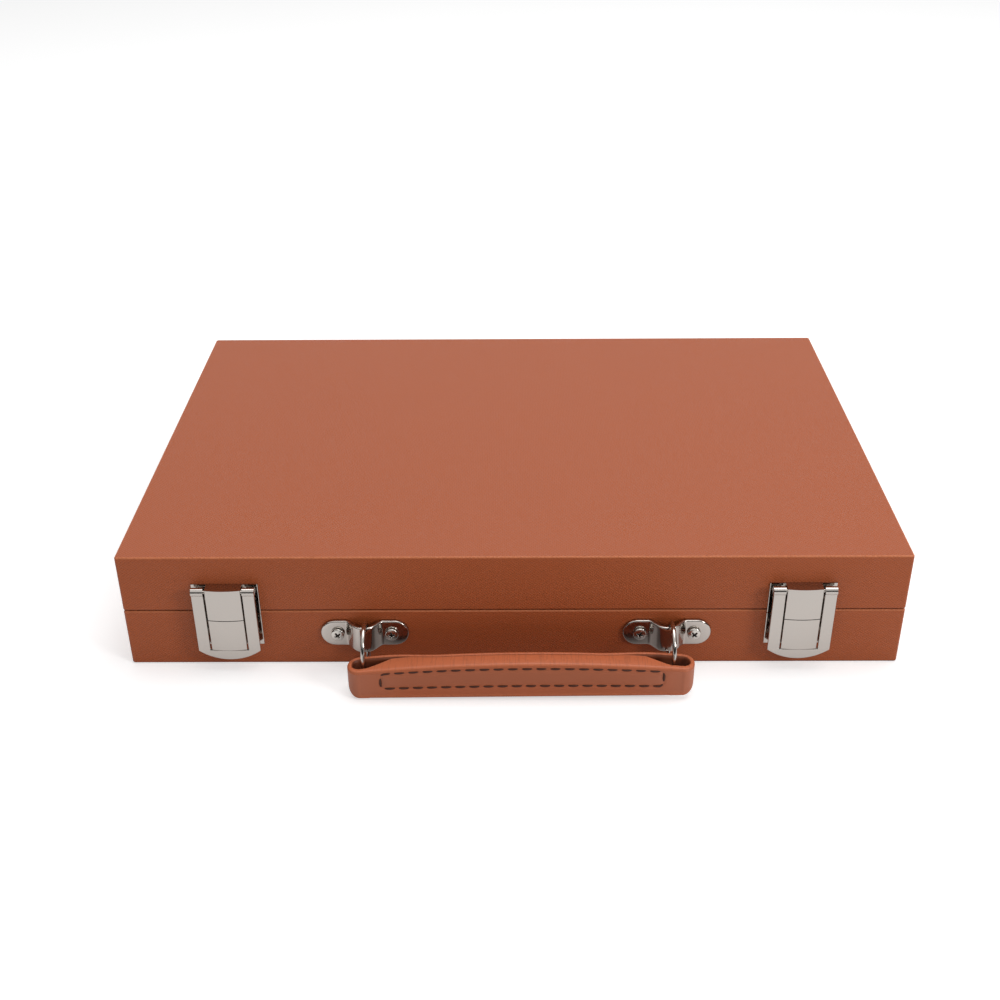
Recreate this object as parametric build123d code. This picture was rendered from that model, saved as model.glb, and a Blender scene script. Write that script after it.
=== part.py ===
"""Travel backgammon set: a two-part board case, shut, with its handle hanging in front.

Millimetres, +Z up, +X to the right. The origin is the middle of the case's underside.
The front, with the hasps and the handle, faces -Y.
"""

import os
from math import sqrt

from build123d import *

# Case, shut
case_width = 380.0
case_depth = 257.0
base_height = 31.4
lid_height = 30.6
seam_gap = 0.4
corner_radius = 1.4
face_edge_radius = 0.9
rim_edge_radius = 0.8

# Case walls, from the outside in
wrap = 0.6
panel = 3.0
wall_board = 8.8
lining = 0.6

# Inside of each half
tray_width = 42.0
divider_width = 8.0
field_board = 2.0
inlay = 0.4
points_per_side = 6
point_length = 140.0
point_inset = 0.3

# Clearances
screw_fit = 0.05
pin_fit = 0.05
swing_gap = 0.3
rest_gap = 0.1

# Butt hinges at the back
hinge_inset = 70.0
hinge_length = 44.0
hinge_leaf = 1.0
hinge_leaf_depth = 7.4
hinge_knuckle_radius = 2.4
hinge_pin_radius = 0.9
hinge_knuckles = 5
hinge_axis_proud = 0.25
hinge_screw_spacing = 26.0
hinge_screw_radius = 1.1
hinge_screw_head = 2.1
hinge_screw_length = 8.0

# Hasps at the front, their heights measured from the rim of the base
hasp_inset = 51.1
hasp_plate_width = 32.4
hasp_plate_sheet = 0.8
hasp_plate_rise = 16.2
hasp_split_drop = 1.1
hasp_plate_drop = 19.0
hasp_split_gap = 0.4
hasp_boss_width = 17.3
hasp_boss_stand = 6.2
hasp_boss_dome = 0.8
hasp_edge_radius = 0.4
hasp_boss_rise = 0.5
hasp_frame_width = 30.3
hasp_frame_stand = 6.5
hasp_frame_sheet = 1.2
hasp_arm_width = 5.8
hasp_hook_gap = 0.3
hasp_lip_drop = 24.4
hasp_lip_round = 5.3
hasp_pin_radius = 0.9
hasp_roll_proud = 0.5
hasp_pin_rise = 14.6
hasp_screw_radius = 1.0
hasp_screw_head = 2.0
hasp_screw_head_height = 1.0
hasp_screw_length = 7.0
hasp_screw_drop = 9.0

# Bridge brackets that carry the handle
bracket_left = -72.75
bracket_right = 74.9
bracket_drop = 12.2
bracket_length = 43.2
bracket_width = 14.4
bracket_sheet = 1.8
bridge_crest = 5.4
bridge_foot = 13.8
bridge_clear = 5.85
bridge_bend = 2.0
bracket_screw_spacing = 26.4
bracket_screw_radius = 1.5
bracket_screw_head = 3.4
bracket_screw_head_height = 2.1
bracket_screw_length = 9.0

# Wire rings
ring_wire = 2.2
ring_offset = 1.2
ring_half_width = 11.4
ring_straight = 6.35

# Handle
handle_past_left = 6.6
handle_past_right = 11.1
handle_past_ring = 5.4
handle_above_ring = 1.1
handle_thickness = 12.4
handle_end_height = 16.1
handle_crown = 2.7
handle_strap = 2.2
handle_front_wall = 3.1
handle_back_wall = 1.8
handle_corner = 5.0
handle_middle_thickness = 10.2
loop_room = 0.6
loop_slope = 8.6
loop_slit = 1.0
slit_length = 9.0
loop_clear = 0.5
core_length = 96.0
core_thickness = 5.4
core_margin = 4.0

# Goods stored in the base tray
checker_radius = 14.0
checker_thickness = 7.0
checker_chamfer = 0.6
checkers_per_player = 15
checker_gap = 0.1
tray_end_gap = 1.2
cup_radius = 19.0
finger_room = 6.2
cup_wall = 2.2
cup_base = 3.0
cup_lining = 0.8
cup_gap = 1.2
die_size = 12.0
die_chamfer = 0.9
doubling_cube_size = 18.0

# Worked out from the sizes above
case_height = base_height + seam_gap + lid_height
wall = wrap + wall_board + lining
inside_x = case_width / 2 - wall
inside_y = case_depth / 2 - wall
front = -case_depth / 2
back = case_depth / 2
divider_front = -inside_y + tray_width
divider_back = divider_front + divider_width
point_width = (inside_y - divider_back) / points_per_side
floor_level = wrap + panel
hinge_spacing = case_width - 2 * hinge_inset
hasp_spacing = case_width - 2 * hasp_inset
checker_pitch = checker_thickness + checker_gap
cup_length = (
    2 * inside_x
    - tray_end_gap
    - 2 * checkers_per_player * checker_pitch
    - 3 * cup_gap
    - doubling_cube_size
    - finger_room
) / 2
hasp_plate_top = base_height + hasp_plate_rise
hasp_plate_split = base_height - hasp_split_drop
hasp_plate_bottom = base_height - hasp_plate_drop
hasp_lip_bottom = base_height - hasp_lip_drop
hasp_lip_corner = hasp_lip_bottom + hasp_lip_round
hasp_pin_height = base_height + hasp_pin_rise
bracket_height = base_height - bracket_drop
ring_stand = ring_half_width + ring_wire / 2 + swing_gap
ring_lower_height = bracket_height - ring_straight
ring_bottom = ring_lower_height - ring_half_width - ring_wire / 2
handle_left = bracket_left - handle_past_left
handle_right = bracket_right + handle_past_right
handle_front = front - ring_stand - ring_half_width - handle_past_ring
handle_bottom = ring_bottom + handle_above_ring


def block(x0, x1, y0, y1, z0, z1):
    """A box between two opposite corners."""
    return Pos((x0 + x1) / 2, (y0 + y1) / 2, (z0 + z1) / 2) * Box(
        abs(x1 - x0), abs(y1 - y0), abs(z1 - z0)
    )


def rod_x(radius, x0, x1, y, z):
    """A round rod along X."""
    return Pos((x0 + x1) / 2, y, z) * Rot(0, 90, 0) * Cylinder(radius, abs(x1 - x0))


def rod_y(radius, x, y0, y1, z):
    """A round rod along Y."""
    return Pos(x, (y0 + y1) / 2, z) * Rot(90, 0, 0) * Cylinder(radius, abs(y1 - y0))


def rod_z(radius, x, y, z0, z1):
    """A round rod along Z."""
    return Pos(x, y, (z0 + z1) / 2) * Cylinder(radius, abs(z1 - z0))


def cut(shape, tools):
    """The shape with every tool taken out of it."""
    for tool in tools:
        shape = shape - tool
    return shape


def save(name, *solids):
    """One node: one solid, or a group of separate like solids."""
    shape = solids[0] if len(solids) == 1 else Compound(children=list(solids))
    export_step(shape, f"parts/{name}.step")


class Half:
    """The base or the lid: heights run inwards from its outer face towards its rim."""

    def __init__(self, name, outer_z, height, inwards):
        self.name = name
        self.outer_z = outer_z
        self.height = height
        self.inwards = inwards

    def z(self, depth):
        return self.outer_z + self.inwards * depth

    def slab(self, x0, x1, y0, y1, depth0, depth1):
        return block(x0, x1, y0, y1, self.z(depth0), self.z(depth1))


base = Half("base", 0.0, base_height, 1)
lid = Half("lid", case_height, lid_height, -1)
hinge_z = base_height + seam_gap / 2
hinge_y = back + hinge_axis_proud


def hinge_places():
    return (-hinge_spacing / 2, hinge_spacing / 2)


def hasp_places():
    return (-hasp_spacing / 2, hasp_spacing / 2)


def hinge_screw_spots():
    """Middle of each hinge screw across one leaf."""
    y = back - wrap - hinge_leaf_depth / 2
    half = hinge_screw_spacing / 2
    return [(x + side * half, y) for x in hinge_places() for side in (-1, 1)]


def hasp_screw_spots(height):
    """Two screws of one hasp plate, behind the arms of the frame."""
    reach = (hasp_frame_width - hasp_arm_width) / 2
    return [(x + side * reach, height) for x in hasp_places() for side in (-1, 1)]


def bracket_screw_spots():
    reach = bracket_screw_spacing / 2
    places = (bracket_left, bracket_right)
    return [(x + side * reach, bracket_height) for x in places for side in (-1, 1)]


def hinge_recess(half):
    """Room in a rim for one leaf of each hinge, and for the knuckles of both leaves."""
    tools = []
    rim = half.z(half.height)
    for x in hinge_places():
        reach = hinge_length / 2 + pin_fit
        tools.append(
            block(
                x - reach,
                x + reach,
                back - wrap - hinge_leaf_depth - pin_fit,
                back + wrap,
                rim + half.inwards * seam_gap,
                rim - half.inwards * hinge_leaf,
            )
        )
        room = hinge_knuckle_radius + swing_gap
        tools.append(rod_x(room, x - reach, x + reach, hinge_y, hinge_z))
    return tools


def hinge_screw_holes(half):
    rim = half.z(half.height)
    radius = hinge_screw_radius + screw_fit
    depth = half.inwards * (hinge_leaf + hinge_screw_length)
    return [rod_z(radius, x, y, rim, rim - depth) for x, y in hinge_screw_spots()]


def front_screw_holes(half):
    """Holes for every screw that enters the front of this half."""
    if half is base:
        spots = [(p, bracket_screw_radius, bracket_screw_length) for p in bracket_screw_spots()]
        height = hasp_plate_split - hasp_screw_drop
    else:
        spots = []
        height = hasp_plate_split + hasp_screw_drop
    spots += [(p, hasp_screw_radius, hasp_screw_length) for p in hasp_screw_spots(height)]
    return [
        rod_y(radius + screw_fit, x, front - wrap, front + length, z)
        for (x, z), radius, length in spots
    ]


def make_covering(half):
    """Leatherette round the outside of one half and over its rim."""
    outer = half.slab(-case_width / 2, case_width / 2, front, back, 0, half.height)
    outer = fillet(outer.edges().filter_by(Axis.Z), corner_radius)
    ends = outer.faces().sort_by(Axis.Z)
    face = ends[0] if half is base else ends[-1]
    outer = fillet(face.edges(), face_edge_radius)
    ends = outer.faces().sort_by(Axis.Z)
    rim = ends[-1] if half is base else ends[0]
    outer = fillet(rim.edges(), rim_edge_radius)
    board_x, board_y = case_width / 2 - wrap, case_depth / 2 - wrap
    boards = half.slab(-board_x, board_x, -board_y, board_y, wrap, half.height - wrap)
    mouth_x, mouth_y = inside_x + lining, inside_y + lining
    mouth = half.slab(
        -mouth_x, mouth_x, -mouth_y, mouth_y, half.height - 2 * wrap, half.height + wrap
    )
    shell = cut(outer, [boards, mouth] + hinge_recess(half) + front_screw_holes(half))
    if half is lid:
        save("lid_cover", shell)
        return
    below = half.slab(-case_width, case_width, -case_depth, case_depth, -wrap, wrap)
    save("base_bottom_cover", outer & below)
    save("base_wrap", shell - below)


def make_boards(half):
    """Outer panel and the four mitred wall boards of one half."""
    out_x, out_y = case_width / 2 - wrap, case_depth / 2 - wrap
    in_x, in_y = inside_x + lining, inside_y + lining
    save(f"{half.name}_panel", half.slab(-out_x, out_x, -out_y, out_y, wrap, floor_level))
    z0, z1 = sorted((half.z(floor_level), half.z(half.height - wrap)))

    def board(*corners):
        return Pos(0, 0, z0) * extrude(make_face(Polyline(*corners, close=True)), z1 - z0)

    front_board = board((-out_x, -out_y), (out_x, -out_y), (in_x, -in_y), (-in_x, -in_y))
    back_board = board((-out_x, out_y), (-in_x, in_y), (in_x, in_y), (out_x, out_y))
    left_board = board((-out_x, -out_y), (-in_x, -in_y), (-in_x, in_y), (-out_x, out_y))
    right_board = board((out_x, -out_y), (out_x, out_y), (in_x, in_y), (in_x, -in_y))
    save(f"{half.name}_wall_front", cut(front_board, front_screw_holes(half)))
    save(f"{half.name}_wall_back", cut(back_board, hinge_recess(half) + hinge_screw_holes(half)))
    save(f"{half.name}_wall_left", left_board)
    save(f"{half.name}_wall_right", right_board)


def make_inside(half):
    """Lining, playing field, inlaid points and tray divider of one half."""
    skin_x, skin_y = inside_x + lining, inside_y + lining
    skin = half.slab(-skin_x, skin_x, -skin_y, skin_y, floor_level, half.height)
    room = half.slab(
        -inside_x, inside_x, -inside_y, inside_y, floor_level - lining, half.height + lining
    )
    tray_floor = half.slab(
        -inside_x, inside_x, -inside_y, divider_front, floor_level, floor_level + lining
    )
    save(f"{half.name}_lining", (skin - room) + tray_floor)
    divider = half.slab(
        -inside_x, inside_x, divider_front, divider_back, floor_level, half.height
    )
    crown = divider.edges().filter_by(Axis.X).sort_by(Axis.Z)
    crown = crown[-2:] if half is base else crown[:2]
    save(f"{half.name}_divider", fillet(crown, rim_edge_radius * 2))
    field_top = floor_level + field_board
    save(
        f"{half.name}_field",
        half.slab(-inside_x, inside_x, divider_back, inside_y, floor_level, field_top),
    )
    dark, light = [], []
    z0 = min(half.z(field_top), half.z(field_top + inlay))
    for side in (-1, 1):
        for row in range(points_per_side):
            y = divider_back + row * point_width
            corners = (
                (side * inside_x, y + point_inset),
                (side * inside_x, y + point_width - point_inset),
                (side * (inside_x - point_length), y + point_width / 2),
            )
            point = Pos(0, 0, z0) * extrude(make_face(Polyline(*corners, close=True)), inlay)
            (dark if (row + (side > 0)) % 2 else light).append(point)
    save(f"{half.name}_points_dark", *dark)
    save(f"{half.name}_points_light", *light)


def make_hinges():
    """Two butt hinges, their leaves let into the rims and their knuckles on the seam."""
    step = hinge_length / hinge_knuckles
    leaves = {"base": [], "lid": []}
    pins = []
    for x in hinge_places():
        start = x - hinge_length / 2
        for half in (base, lid):
            rim = half.z(half.height)
            inner_y = back - wrap - hinge_leaf_depth
            leaf = block(
                start, start + hinge_length, inner_y, hinge_y, rim, rim - half.inwards * hinge_leaf
            )
            for number in range(hinge_knuckles):
                x0 = start + number * step
                mine = (number % 2 == 0) == (half is base)
                if mine:
                    knuckle = rod_x(
                        hinge_knuckle_radius, x0 + pin_fit, x0 + step - pin_fit, hinge_y, hinge_z
                    )
                    leaf = leaf + knuckle
                else:
                    room = hinge_knuckle_radius + swing_gap
                    leaf = leaf - rod_x(room, x0 - pin_fit, x0 + step + pin_fit, hinge_y, hinge_z)
            bore = rod_x(
                hinge_pin_radius + pin_fit, start - 1, start + hinge_length + 1, hinge_y, hinge_z
            )
            leaves[half.name].append(cut(leaf - bore, leaf_screw_holes(half)))
        pins.append(rod_x(hinge_pin_radius, start, start + hinge_length, hinge_y, hinge_z))
    save("hinge_leaves_base", *leaves["base"])
    save("hinge_leaves_lid", *leaves["lid"])
    save("hinge_pins", *pins)
    for half in (base, lid):
        save(f"hinge_screws_{half.name}", *[leaf_screw(half, x, y) for x, y in hinge_screw_spots()])


def leaf_screw_cone(half, x, y, grow):
    """The countersunk head of a hinge screw, flush with the leaf."""
    rim = half.z(half.height)
    turn = Rot(0, 0, 0) if half is base else Rot(180, 0, 0)
    cone = Cone(hinge_screw_radius + grow, hinge_screw_head + grow, hinge_leaf)
    return Pos(x, y, rim - half.inwards * hinge_leaf / 2) * turn * cone


def leaf_screw_holes(half):
    return [leaf_screw_cone(half, x, y, screw_fit) for x, y in hinge_screw_spots()]


def leaf_screw(half, x, y):
    rim = half.z(half.height)
    under = rim - half.inwards * hinge_leaf
    tip = under - half.inwards * (hinge_screw_length - rest_gap)
    return leaf_screw_cone(half, x, y, 0) + rod_z(hinge_screw_radius, x, y, under, tip)


def pan_screw(x, z, seat_stand, head_radius, head_height, shank_radius, length):
    """A pan-headed screw into the front of the case, its head on a sheet."""
    seat = front - seat_stand
    head = rod_y(head_radius, x, seat, seat - head_height, z)
    head = chamfer(head.faces().sort_by(Axis.Y)[0].edges(), head_height / 2)
    shank = rod_y(shank_radius, x, seat, front + length - rest_gap, z)
    return head + shank


def hasp_pin_stand():
    return hasp_frame_stand + hasp_roll_proud - knuckle_radius()


def knuckle_radius():
    """The frame's sheet is rolled once round its pin."""
    return hasp_pin_radius + pin_fit + hasp_frame_sheet


def make_hasp_plate(x, z0, z1, screw_height):
    """One hasp plate: flat sheet with a raised boss in its middle, whose face swells a little."""
    half = hasp_plate_width / 2
    plate = block(x - half, x + half, front, front - hasp_plate_sheet, z0, z1)
    sides = plate.faces().sort_by(Axis.Y)[0].edges().filter_by(Axis.Z)
    plate = fillet(sides, hasp_edge_radius)
    low = z0 + (hasp_boss_rise if z0 == hasp_plate_bottom else 0)
    reach = hasp_boss_width / 2
    face = front - hasp_boss_stand
    plan = make_face(
        [
            Polyline((x + reach, face), (x + reach, front), (x - reach, front), (x - reach, face)),
            ThreePointArc((x - reach, face), (x, face - hasp_boss_dome), (x + reach, face)),
        ]
    )
    boss = Pos(0, 0, low) * extrude(plan, z1 - low)
    corners = boss.edges().filter_by(Axis.Z).group_by(Axis.Y)[0]
    boss = fillet(corners, hasp_edge_radius)
    bore = rod_x(
        hasp_pin_radius + pin_fit, x - half, x + half, front - hasp_pin_stand(), hasp_pin_height
    )
    holes = [
        rod_y(hasp_screw_radius + screw_fit, sx, front, front - hasp_plate_sheet, sz)
        for sx, sz in hasp_screw_spots(screw_height)
        if abs(sx - x) < half
    ]
    return cut(plate + boss, [bore] + holes)


def make_hasp_frame(x):
    """The swinging U frame: two arms rolled round the pin and a rounded finger lip."""
    half = hasp_frame_width / 2
    opening = half - hasp_arm_width
    hook = hasp_plate_bottom + hasp_boss_rise - hasp_hook_gap
    outline = Polyline(
        (-half, hasp_lip_corner),
        (-half, hasp_pin_height),
        (-opening, hasp_pin_height),
        (-opening, hook),
        (opening, hook),
        (opening, hasp_pin_height),
        (half, hasp_pin_height),
        (half, hasp_lip_corner),
    )
    lip = ThreePointArc((half, hasp_lip_corner), (0, hasp_lip_bottom), (-half, hasp_lip_corner))
    sketch = Plane.XZ * make_face([outline, lip])
    sheet = Pos(x, front - hasp_frame_stand + hasp_frame_sheet, 0) * extrude(
        sketch, hasp_frame_sheet
    )
    rim = sheet.faces().sort_by(Axis.Y)[0].edges()
    rim = [edge for edge in rim if edge.center().Z < hasp_pin_height - hasp_edge_radius]
    sheet = fillet(rim, hasp_edge_radius)
    y = front - hasp_pin_stand()
    for side in (-1, 1):
        ends = (x + side * opening, x + side * half)
        sheet = sheet + rod_x(knuckle_radius(), *ends, y, hasp_pin_height)
        bore = rod_x(hasp_pin_radius + pin_fit, ends[0] - side, ends[1] + side, y, hasp_pin_height)
        sheet = sheet - bore
    return sheet


def make_hasps():
    top_screws = hasp_plate_split + hasp_screw_drop
    low_screws = hasp_plate_split - hasp_screw_drop
    gap = hasp_split_gap / 2
    for side, x in zip(("left", "right"), hasp_places()):
        save(
            f"hasp_{side}_lid_plate",
            make_hasp_plate(x, hasp_plate_split + gap, hasp_plate_top, top_screws),
        )
        save(
            f"hasp_{side}_base_plate",
            make_hasp_plate(x, hasp_plate_bottom, hasp_plate_split - gap, low_screws),
        )
        save(f"hasp_{side}_frame", make_hasp_frame(x))
        reach = hasp_frame_width / 2 - pin_fit
        y = front - hasp_pin_stand()
        save(f"hasp_{side}_pin", rod_x(hasp_pin_radius, x - reach, x + reach, y, hasp_pin_height))
    for name, height in (("lid", top_screws), ("base", low_screws)):
        screws = [
            pan_screw(
                sx,
                sz,
                hasp_plate_sheet,
                hasp_screw_head,
                hasp_screw_head_height,
                hasp_screw_radius,
                hasp_screw_length,
            )
            for sx, sz in hasp_screw_spots(height)
        ]
        save(f"hasp_screws_{name}", *screws)


def make_bracket(x):
    """A strap bracket: two rounded feet and a raised bridge bent between them."""
    middle = bracket_sheet / 2
    crest = bridge_clear + middle
    half = bracket_length / 2
    path = [
        (-half, -middle),
        (-half + bridge_foot, -middle),
        (-bridge_crest / 2, -crest),
        (bridge_crest / 2, -crest),
        (half - bridge_foot, -middle),
        (half, -middle),
    ]
    line = FilletPolyline(*path, radius=bridge_bend)
    strip = trace(line, bracket_sheet)
    low = bracket_height - bracket_width / 2
    strap = Pos(x, front, low) * extrude(strip, bracket_width)
    outline = SlotOverall(bracket_length, bracket_width)
    mask = Pos(x, front, bracket_height) * extrude(
        Plane.XZ * outline, 2 * crest, both=True
    )
    holes = [
        rod_y(bracket_screw_radius + screw_fit, sx, front, front - bracket_sheet, sz)
        for sx, sz in bracket_screw_spots()
        if abs(sx - x) < half
    ]
    return cut(strap & mask, holes)


def ring_axis():
    """Middle of the ring's upper arc, in (y, z): the line that the ring swings about."""
    return front - ring_stand, bracket_height


def make_ring(x):
    """A wire ring, longer than it is wide, standing in the plane square to the case front."""
    y, z = ring_axis()
    low = ring_lower_height
    a = ring_half_width
    path = Wire(
        [
            Line((y - a, low), (y - a, z)),
            ThreePointArc((y - a, z), (y, z + a), (y + a, z)),
            Line((y + a, z), (y + a, low)),
            ThreePointArc((y + a, low), (y, low - a), (y - a, low)),
        ]
    )
    path = Plane.YZ * path
    start = Plane(origin=(0, y - a, low), x_dir=(1, 0, 0), z_dir=(0, 0, 1))
    section = start * Circle(ring_wire / 2)
    return Pos(x, 0, 0) * sweep(section, path=path)


def make_handle():
    """The leather handle: one strap folded round both ends, closed on itself at the back.

    Seen from above it is a long rounded bar with a loop hole at each end, and each hole
    runs on as a slit between the back layer and the padded bar. The back layer's lower edge
    stays inside the rings' lower arcs, which it turns about.
    """
    left, right = handle_left, handle_right
    length = right - left
    centre = (left + right) / 2
    y_front = handle_front
    y_back = y_front + handle_thickness
    plan = Pos(centre, (y_front + y_back) / 2, 0) * SlotOverall(length, handle_thickness)
    top = handle_bottom + handle_end_height
    bar = Pos(0, 0, handle_bottom) * extrude(plan, handle_end_height + handle_crown)

    corner = handle_corner
    crown_edge = ThreePointArc(
        (right - corner, top), (centre, top + handle_crown), (left + corner, top)
    )
    side = [
        Line((left, handle_bottom + corner), (left, top)),
        Line((left, top), (left + corner, top)),
        crown_edge,
        Line((right - corner, top), (right, top)),
        Line((right, top), (right, handle_bottom + corner)),
        RadiusArc(
            (right, handle_bottom + corner), (right - corner, handle_bottom), corner
        ),
        Line((right - corner, handle_bottom), (left + corner, handle_bottom)),
        RadiusArc(
            (left + corner, handle_bottom), (left, handle_bottom + corner), corner
        ),
    ]
    mask = Pos(0, y_back + 1, 0) * extrude(
        Plane.XZ * make_face(side), handle_thickness + 2
    )
    bar = bar & mask

    reach = handle_thickness / 2
    inner_back = y_back - handle_back_wall
    inner_front = y_front + handle_front_wall
    bar_back = y_front + handle_middle_thickness - handle_back_wall
    tall = (handle_bottom - 1, top + handle_crown + 1)
    ends = ((left, bracket_left + ring_offset, 1), (right, bracket_right + ring_offset, -1))
    for end, ring, inward in ends:
        near = end + inward * handle_strap
        past_ring = ring + inward * (ring_wire / 2 + loop_room)
        far = past_ring + inward * loop_slope
        tip = far + inward * slit_length
        hole = make_face(
            Polyline(
                (near, inner_back),
                (near, inner_front),
                (past_ring, inner_front),
                (far, inner_back - loop_slit * 1.5),
                (tip, inner_back - loop_slit / 2),
                (tip, inner_back),
                close=True,
            )
        )
        corners = hole.vertices().group_by(Axis.X)
        corners = corners[0] if inward > 0 else corners[-1]
        hole = fillet(corners, reach / 3)
        bar = bar - Pos(0, 0, tall[0]) * extrude(hole, tall[1] - tall[0])

    ring_y = ring_axis()[0]
    room = ring_half_width - ring_wire / 2 - loop_clear
    under = ring_lower_height - sqrt(room**2 - (inner_back - ring_y) ** 2)
    step_y = inner_back - loop_slit
    slope_y = step_y - (under - handle_bottom)
    step = make_face(
        Polyline(
            (y_back + 1, handle_bottom - 1),
            (y_back + 1, under),
            (step_y, under),
            (slope_y, handle_bottom),
            (slope_y, handle_bottom - 1),
            close=True,
        )
    )
    step = Pos(left - 1, 0, 0) * extrude(Plane.YZ * step, length + 2)
    bar = bar - step

    core_y = (y_front + bar_back) / 2
    core = block(
        centre - core_length / 2,
        centre + core_length / 2,
        core_y - core_thickness / 2,
        core_y + core_thickness / 2,
        handle_bottom + core_margin,
        top - core_margin,
    )
    core = fillet(core.edges().filter_by(Axis.X), core_thickness / 4)
    return bar - core, core


def make_checker(x):
    """A flat disc with bevelled rims, stood on its edge."""
    y = -inside_y + tray_width / 2
    z = floor_level + lining + rest_gap + checker_radius
    disc = rod_x(checker_radius, x - checker_thickness / 2, x + checker_thickness / 2, y, z)
    return chamfer(disc.edges().filter_by(GeomType.CIRCLE), checker_chamfer)


def make_cup(x):
    """A dice cup lying on its side, closed at its left end, with its lining."""
    y = -inside_y + tray_width / 2
    z = floor_level + lining + rest_gap + cup_radius
    body = rod_x(cup_radius, x, x + cup_length, y, z)
    body = fillet(body.faces().sort_by(Axis.X)[0].edges(), cup_base / 2)
    bore = rod_x(cup_radius - cup_wall, x + cup_base, x + cup_length + 1, y, z)
    skin = rod_x(cup_radius - cup_wall, x + cup_base, x + cup_length - cup_wall, y, z)
    room = rod_x(
        cup_radius - cup_wall - cup_lining,
        x + cup_base + cup_lining,
        x + cup_length + 1,
        y,
        z,
    )
    return body - bore, skin - room


def make_dice(x):
    """Two dice in a cup that lies on its side."""
    y = -inside_y + tray_width / 2
    z = floor_level + lining + rest_gap + cup_radius
    bore = cup_radius - cup_wall - cup_lining
    drop = sqrt(bore**2 - (die_size / 2) ** 2) - rest_gap
    dice = []
    for number in range(2):
        x0 = x + cup_base + cup_lining + rest_gap + number * (die_size + rest_gap)
        die = block(x0, x0 + die_size, y - die_size / 2, y + die_size / 2, z - drop, z - drop + die_size)
        dice.append(chamfer(die.edges(), die_chamfer))
    return dice


def make_goods():
    """Checkers on edge, then the cups with their dice, then the doubling cube."""
    x = -inside_x + tray_end_gap
    for name in ("dark", "light"):
        spots = [x + (number + 0.5) * checker_pitch for number in range(checkers_per_player)]
        save(f"checkers_{name}", *[make_checker(spot) for spot in spots])
        x += checkers_per_player * checker_pitch
    for side in ("left", "right"):
        x += cup_gap
        cup, skin = make_cup(x)
        save(f"dice_cup_{side}", cup)
        save(f"dice_cup_{side}_lining", skin)
        save("dice_light" if side == "left" else "dice_dark", *make_dice(x))
        x += cup_length
    x += cup_gap
    y = divider_front - tray_end_gap
    z = floor_level + lining + rest_gap
    size = doubling_cube_size
    cube = block(x, x + size, y - size, y, z, z + size)
    save("doubling_cube", chamfer(cube.edges(), die_chamfer))


os.makedirs("parts", exist_ok=True)
for half in (base, lid):
    make_covering(half)
    make_boards(half)
    make_inside(half)
make_hinges()
make_hasps()
for side, x in (("left", bracket_left), ("right", bracket_right)):
    save(f"handle_bracket_{side}", make_bracket(x))
    save(f"handle_ring_{side}", make_ring(x + ring_offset))
save(
    "bracket_screws",
    *[
        pan_screw(
            sx,
            sz,
            bracket_sheet,
            bracket_screw_head,
            bracket_screw_head_height,
            bracket_screw_radius,
            bracket_screw_length,
        )
        for sx, sz in bracket_screw_spots()
    ],
)
strap, core = make_handle()
save("handle_strap", strap)
save("handle_core", core)
make_goods()
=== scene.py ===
import math

import bpy
import numpy as np
from mathutils import Matrix, Vector


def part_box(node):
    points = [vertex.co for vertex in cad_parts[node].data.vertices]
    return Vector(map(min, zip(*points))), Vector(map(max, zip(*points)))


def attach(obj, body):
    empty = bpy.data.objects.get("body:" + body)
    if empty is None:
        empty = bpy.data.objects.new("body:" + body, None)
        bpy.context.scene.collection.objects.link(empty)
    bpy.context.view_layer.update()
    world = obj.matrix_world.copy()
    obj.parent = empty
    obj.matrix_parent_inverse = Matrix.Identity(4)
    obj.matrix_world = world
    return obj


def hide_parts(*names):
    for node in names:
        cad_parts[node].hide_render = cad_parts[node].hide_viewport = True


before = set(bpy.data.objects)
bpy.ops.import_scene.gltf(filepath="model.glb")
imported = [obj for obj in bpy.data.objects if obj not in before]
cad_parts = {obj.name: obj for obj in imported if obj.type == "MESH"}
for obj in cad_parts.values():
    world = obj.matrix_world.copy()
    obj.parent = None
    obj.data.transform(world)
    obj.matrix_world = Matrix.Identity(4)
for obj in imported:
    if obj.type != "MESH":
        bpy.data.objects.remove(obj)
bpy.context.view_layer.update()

# A travel backgammon set: a flat hinged case in tan cross-grain leatherette, shut, with nickel
# snap hasps and a leather handle in front, and the board, checkers, dice and cups inside.
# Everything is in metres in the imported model's frame: front is -Y, up is +Z.
mm = 0.001


# Covering of the case
# Tan leatherette with a fine embossed cross-grain, glued round the boards of each half and
# turned over the rims. The CAD shells carry the shape, so this section makes the finish only.
class Value:
    """One shader socket in a Python expression; each operator adds its Math node."""

    def __init__(self, socket):
        self.socket = socket

    def math(self, operation, *others, turned=False):
        node = self.socket.id_data.nodes.new("ShaderNodeMath")
        node.operation = operation
        values = [self, *others]
        if turned:
            values.reverse()
        for slot, value in zip(node.inputs, values):
            if isinstance(value, Value):
                self.socket.id_data.links.new(value.socket, slot)
            else:
                slot.default_value = value
        return Value(node.outputs[0])

    def __add__(self, other):
        return self.math("ADD", other)

    def __mul__(self, other):
        return self.math("MULTIPLY", other)

    def __sub__(self, other):
        return self.math("SUBTRACT", other)

    def __rsub__(self, other):
        return self.math("SUBTRACT", other, turned=True)

    def __truediv__(self, other):
        return self.math("DIVIDE", other)

    def __pow__(self, other):
        return self.math("POWER", other)

    def __gt__(self, other):
        return self.math("GREATER_THAN", other)

    def __lt__(self, other):
        return self.math("LESS_THAN", other)

    def __abs__(self):
        return self.math("ABSOLUTE")

    __radd__ = __add__
    __rmul__ = __mul__

    def sine(self):
        return self.math("SINE")

    def larger(self, other):
        return self.math("MAXIMUM", other)

    def clamped(self):
        return self.larger(0.0).math("MINIMUM", 1.0)


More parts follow.
